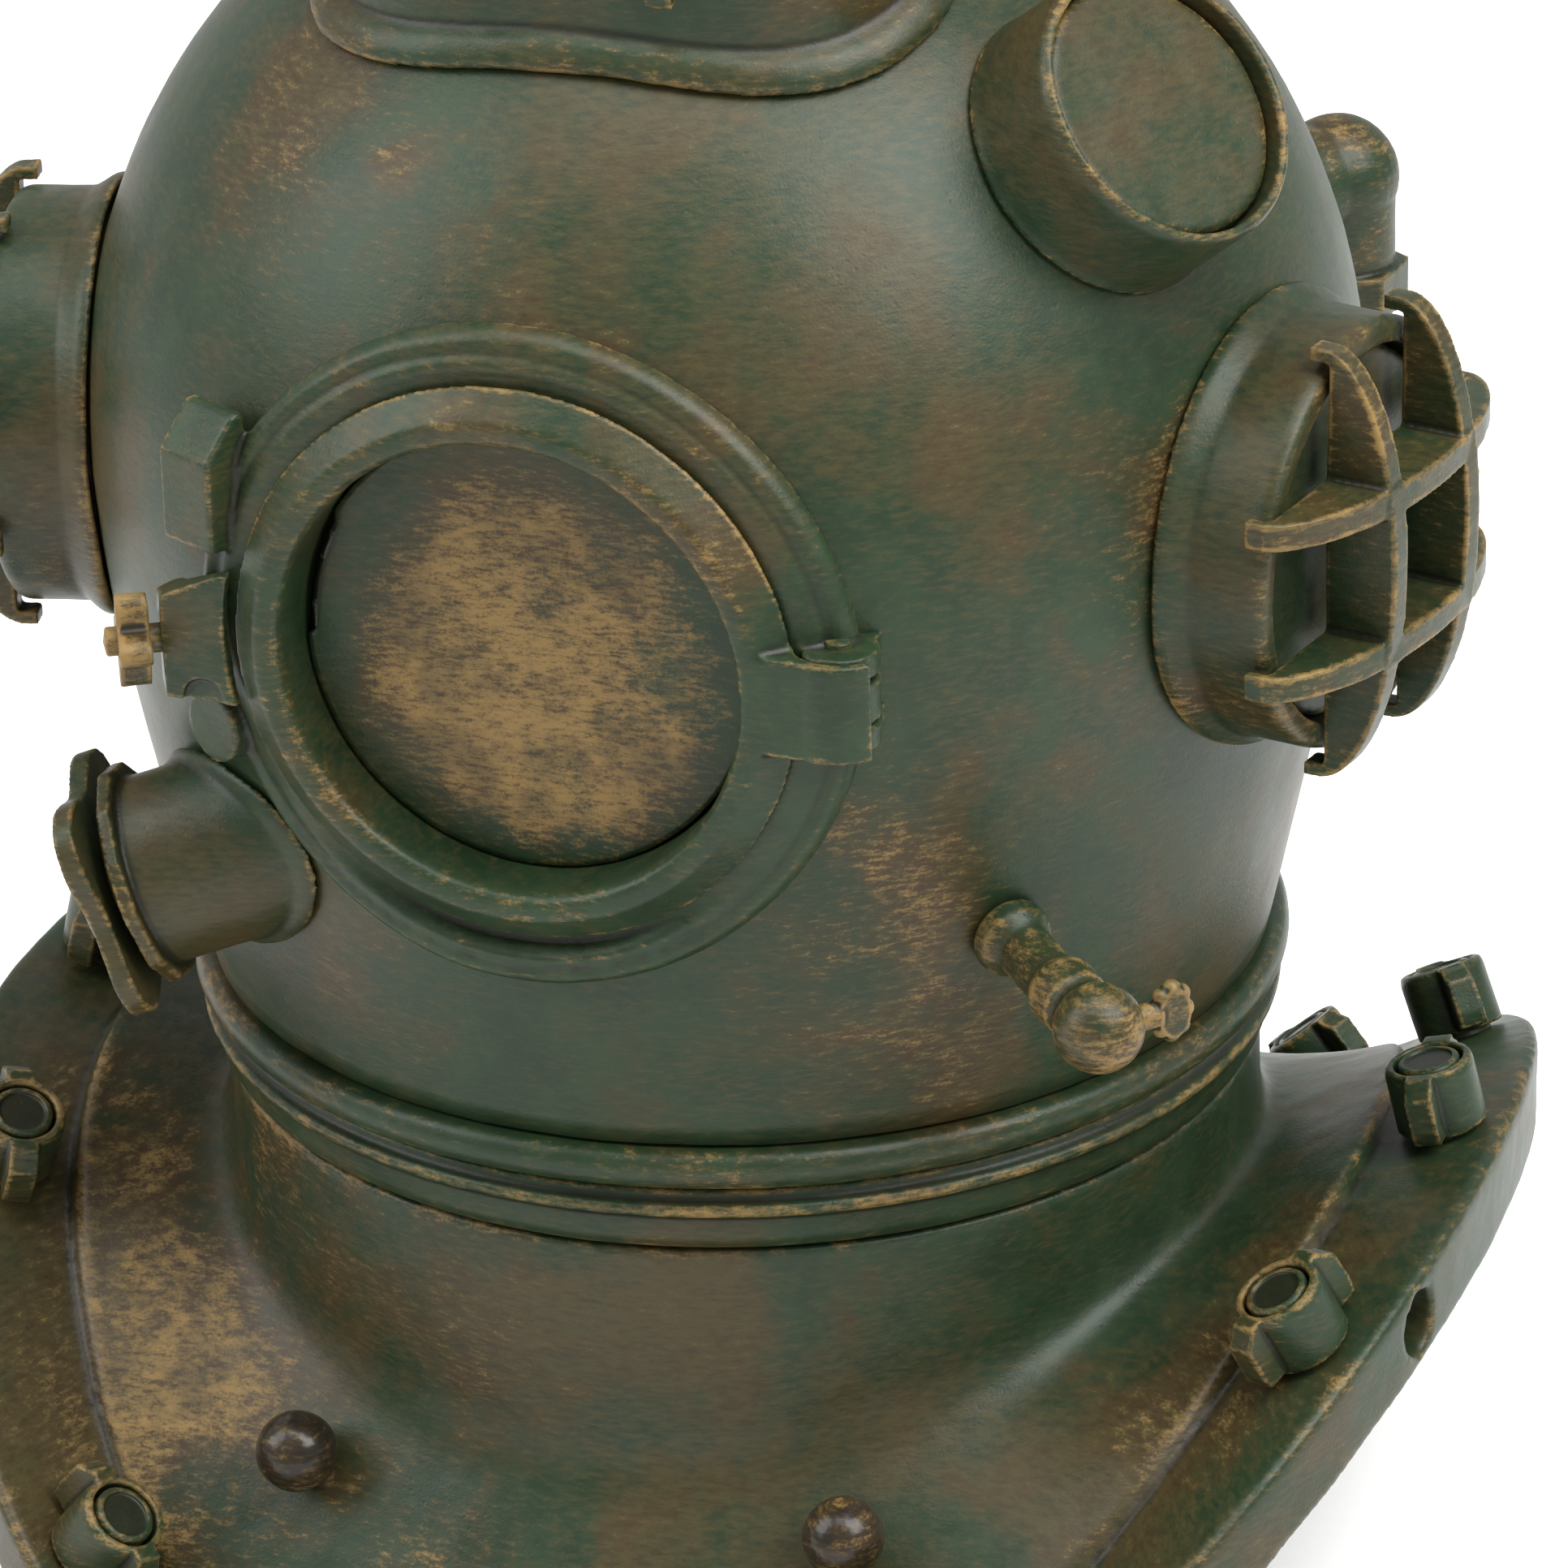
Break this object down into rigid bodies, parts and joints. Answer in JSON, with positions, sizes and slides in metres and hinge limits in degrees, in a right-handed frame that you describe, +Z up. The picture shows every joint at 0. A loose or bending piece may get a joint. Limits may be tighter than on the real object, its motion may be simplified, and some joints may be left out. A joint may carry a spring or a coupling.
{
  "type": "bubbling aquarium ornament",
  "caption": "Diving-helmet aquarium ornament with hinged faceplate, guarded ports, wing-nutted saddle rim and an air stone inside for bubbles.",
  "frame": {"origin": "centre of the base, on the plane the rim rests on, under the bonnet's axis", "axes": "+Z up, the faceplate looks along -Y, +X to the viewer's right"},
  "size_m": [0.1274, 0.1388, 0.1571],
  "materials": {
    "verdigris_resin": "satin dark green patina over cast resin",
    "weathered_gold": "satin green-brown with gold dry-brushed edges",
    "dark_stud": "glossy dark brown",
    "air_stone_grit": "bonded grit",
    "tube": "smooth"
  },
  "bodies": {
    "corselet": {"corselet_shell": "verdigris_resin", "corselet_neck_ring": "weathered_gold", "ball_stud_left": "dark_stud", "ball_stud_right": "dark_stud", "rim_stud_left_1": "dark_stud", "rim_stud_left_2": "dark_stud", "rim_stud_left_3": "dark_stud", "rim_stud_left_4": "dark_stud", "rim_stud_left_5": "dark_stud", "rim_stud_right_1": "dark_stud", "rim_stud_right_2": "dark_stud", "rim_stud_right_3": "dark_stud", "rim_stud_right_4": "dark_stud", "rim_stud_right_5": "dark_stud"},
    "bonnet": {"bonnet_shell": "verdigris_resin", "bonnet_neck_ring": "weathered_gold", "front_port_barrel": "verdigris_resin", "faceplate_hinge_pin": "dark_stud", "left_port_frame": "verdigris_resin", "left_port_guard": "weathered_gold", "left_port_window": "verdigris_resin", "right_port_frame": "verdigris_resin", "right_port_guard": "weathered_gold", "right_port_window": "verdigris_resin", "top_port_frame": "verdigris_resin", "top_port_guard": "weathered_gold", "top_port_window": "verdigris_resin", "speaker_cup": "verdigris_resin", "speaker_cover": "verdigris_resin", "air_elbow": "weathered_gold", "phone_elbow": "weathered_gold", "exhaust_valve_body": "verdigris_resin", "spitcock_body": "weathered_gold", "riser_tube": "tube", "air_stone": "air_stone_grit"},
    "faceplate": {"faceplate_ring": "weathered_gold", "faceplate_disc": "weathered_gold", "latch_lug": "verdigris_resin", "latch_stud": "dark_stud"},
    "latch_nut": {"latch_wing_nut": "weathered_gold"},
    "exhaust_wheel": {"exhaust_handwheel": "weathered_gold"},
    "spitcock_handle": {"spitcock_key": "weathered_gold"},
    "nut_left_1": {"wing_nut_left_1": "verdigris_resin"},
    "nut_left_2": {"wing_nut_left_2": "verdigris_resin"},
    "nut_left_3": {"wing_nut_left_3": "verdigris_resin"},
    "nut_left_4": {"wing_nut_left_4": "verdigris_resin"},
    "nut_left_5": {"wing_nut_left_5": "verdigris_resin"},
    "nut_right_1": {"wing_nut_right_1": "verdigris_resin"},
    "nut_right_2": {"wing_nut_right_2": "verdigris_resin"},
    "nut_right_3": {"wing_nut_right_3": "verdigris_resin"},
    "nut_right_4": {"wing_nut_right_4": "verdigris_resin"},
    "nut_right_5": {"wing_nut_right_5": "verdigris_resin"}
  },
  "joints": [
    {"name": "bonnet_turn", "type": "hinge", "parent": "corselet", "child": "bonnet", "pos_m": [0, 0, 0.0537], "axis": [0, 0, 1], "range_deg": [0, 45]},
    {"name": "faceplate_hinge", "type": "hinge", "parent": "bonnet", "child": "faceplate", "pos_m": [0.0242, -0.0456, 0.0983], "axis": [0, 0, 1], "range_deg": [0, 80]},
    {"name": "latch_nut_turn", "type": "hinge", "parent": "faceplate", "child": "latch_nut", "pos_m": [-0.028, -0.0469, 0.0971], "axis": [-0.8829, -0.4695, 0], "continuous": true},
    {"name": "exhaust_wheel_turn", "type": "hinge", "parent": "bonnet", "child": "exhaust_wheel", "pos_m": [-0.02736, -0.0378, 0.076], "axis": [-0.9116, -0.2614, -0.3173], "range_deg": [0, 270]},
    {"name": "spitcock_turn", "type": "hinge", "parent": "bonnet", "child": "spitcock_handle", "pos_m": [0.04262, -0.04322, 0.07287], "axis": [0.712, 0.7022, 0], "range_deg": [0, 90]},
    {"name": "rim_nut_left_1_turn", "type": "hinge", "parent": "corselet", "child": "nut_left_1", "pos_m": [-0.03763, -0.0516, 0.01922], "axis": [0.6347, -0.115, 0.7642], "continuous": true},
    {"name": "rim_nut_left_2_turn", "type": "hinge", "parent": "corselet", "child": "nut_left_2", "pos_m": [-0.05441, -0.0264, 0.03887], "axis": [0.3826, -0.266, 0.8848], "continuous": true},
    {"name": "rim_nut_left_3_turn", "type": "hinge", "parent": "corselet", "child": "nut_left_3", "pos_m": [-0.05824, 0.00167, 0.04376], "axis": [0.2383, 0.0063, 0.9712], "continuous": true},
    {"name": "rim_nut_left_4_turn", "type": "hinge", "parent": "corselet", "child": "nut_left_4", "pos_m": [-0.05369, 0.02844, 0.03792], "axis": [0.4052, 0.2794, 0.8705], "continuous": true},
    {"name": "rim_nut_left_5_turn", "type": "hinge", "parent": "corselet", "child": "nut_left_5", "pos_m": [-0.03763, 0.0516, 0.01922], "axis": [0.6347, 0.115, 0.7642], "continuous": true},
    {"name": "rim_nut_right_1_turn", "type": "hinge", "parent": "corselet", "child": "nut_right_1", "pos_m": [0.03763, -0.0516, 0.01922], "axis": [-0.6347, -0.115, 0.7642], "continuous": true},
    {"name": "rim_nut_right_2_turn", "type": "hinge", "parent": "corselet", "child": "nut_right_2", "pos_m": [0.05441, -0.0264, 0.03887], "axis": [-0.3826, -0.266, 0.8848], "continuous": true},
    {"name": "rim_nut_right_3_turn", "type": "hinge", "parent": "corselet", "child": "nut_right_3", "pos_m": [0.05824, 0.00167, 0.04376], "axis": [-0.2383, 0.0063, 0.9712], "continuous": true},
    {"name": "rim_nut_right_4_turn", "type": "hinge", "parent": "corselet", "child": "nut_right_4", "pos_m": [0.05369, 0.02844, 0.03792], "axis": [-0.4052, 0.2794, 0.8705], "continuous": true},
    {"name": "rim_nut_right_5_turn", "type": "hinge", "parent": "corselet", "child": "nut_right_5", "pos_m": [0.03763, 0.0516, 0.01922], "axis": [-0.6347, 0.115, 0.7642], "continuous": true}
  ]
}
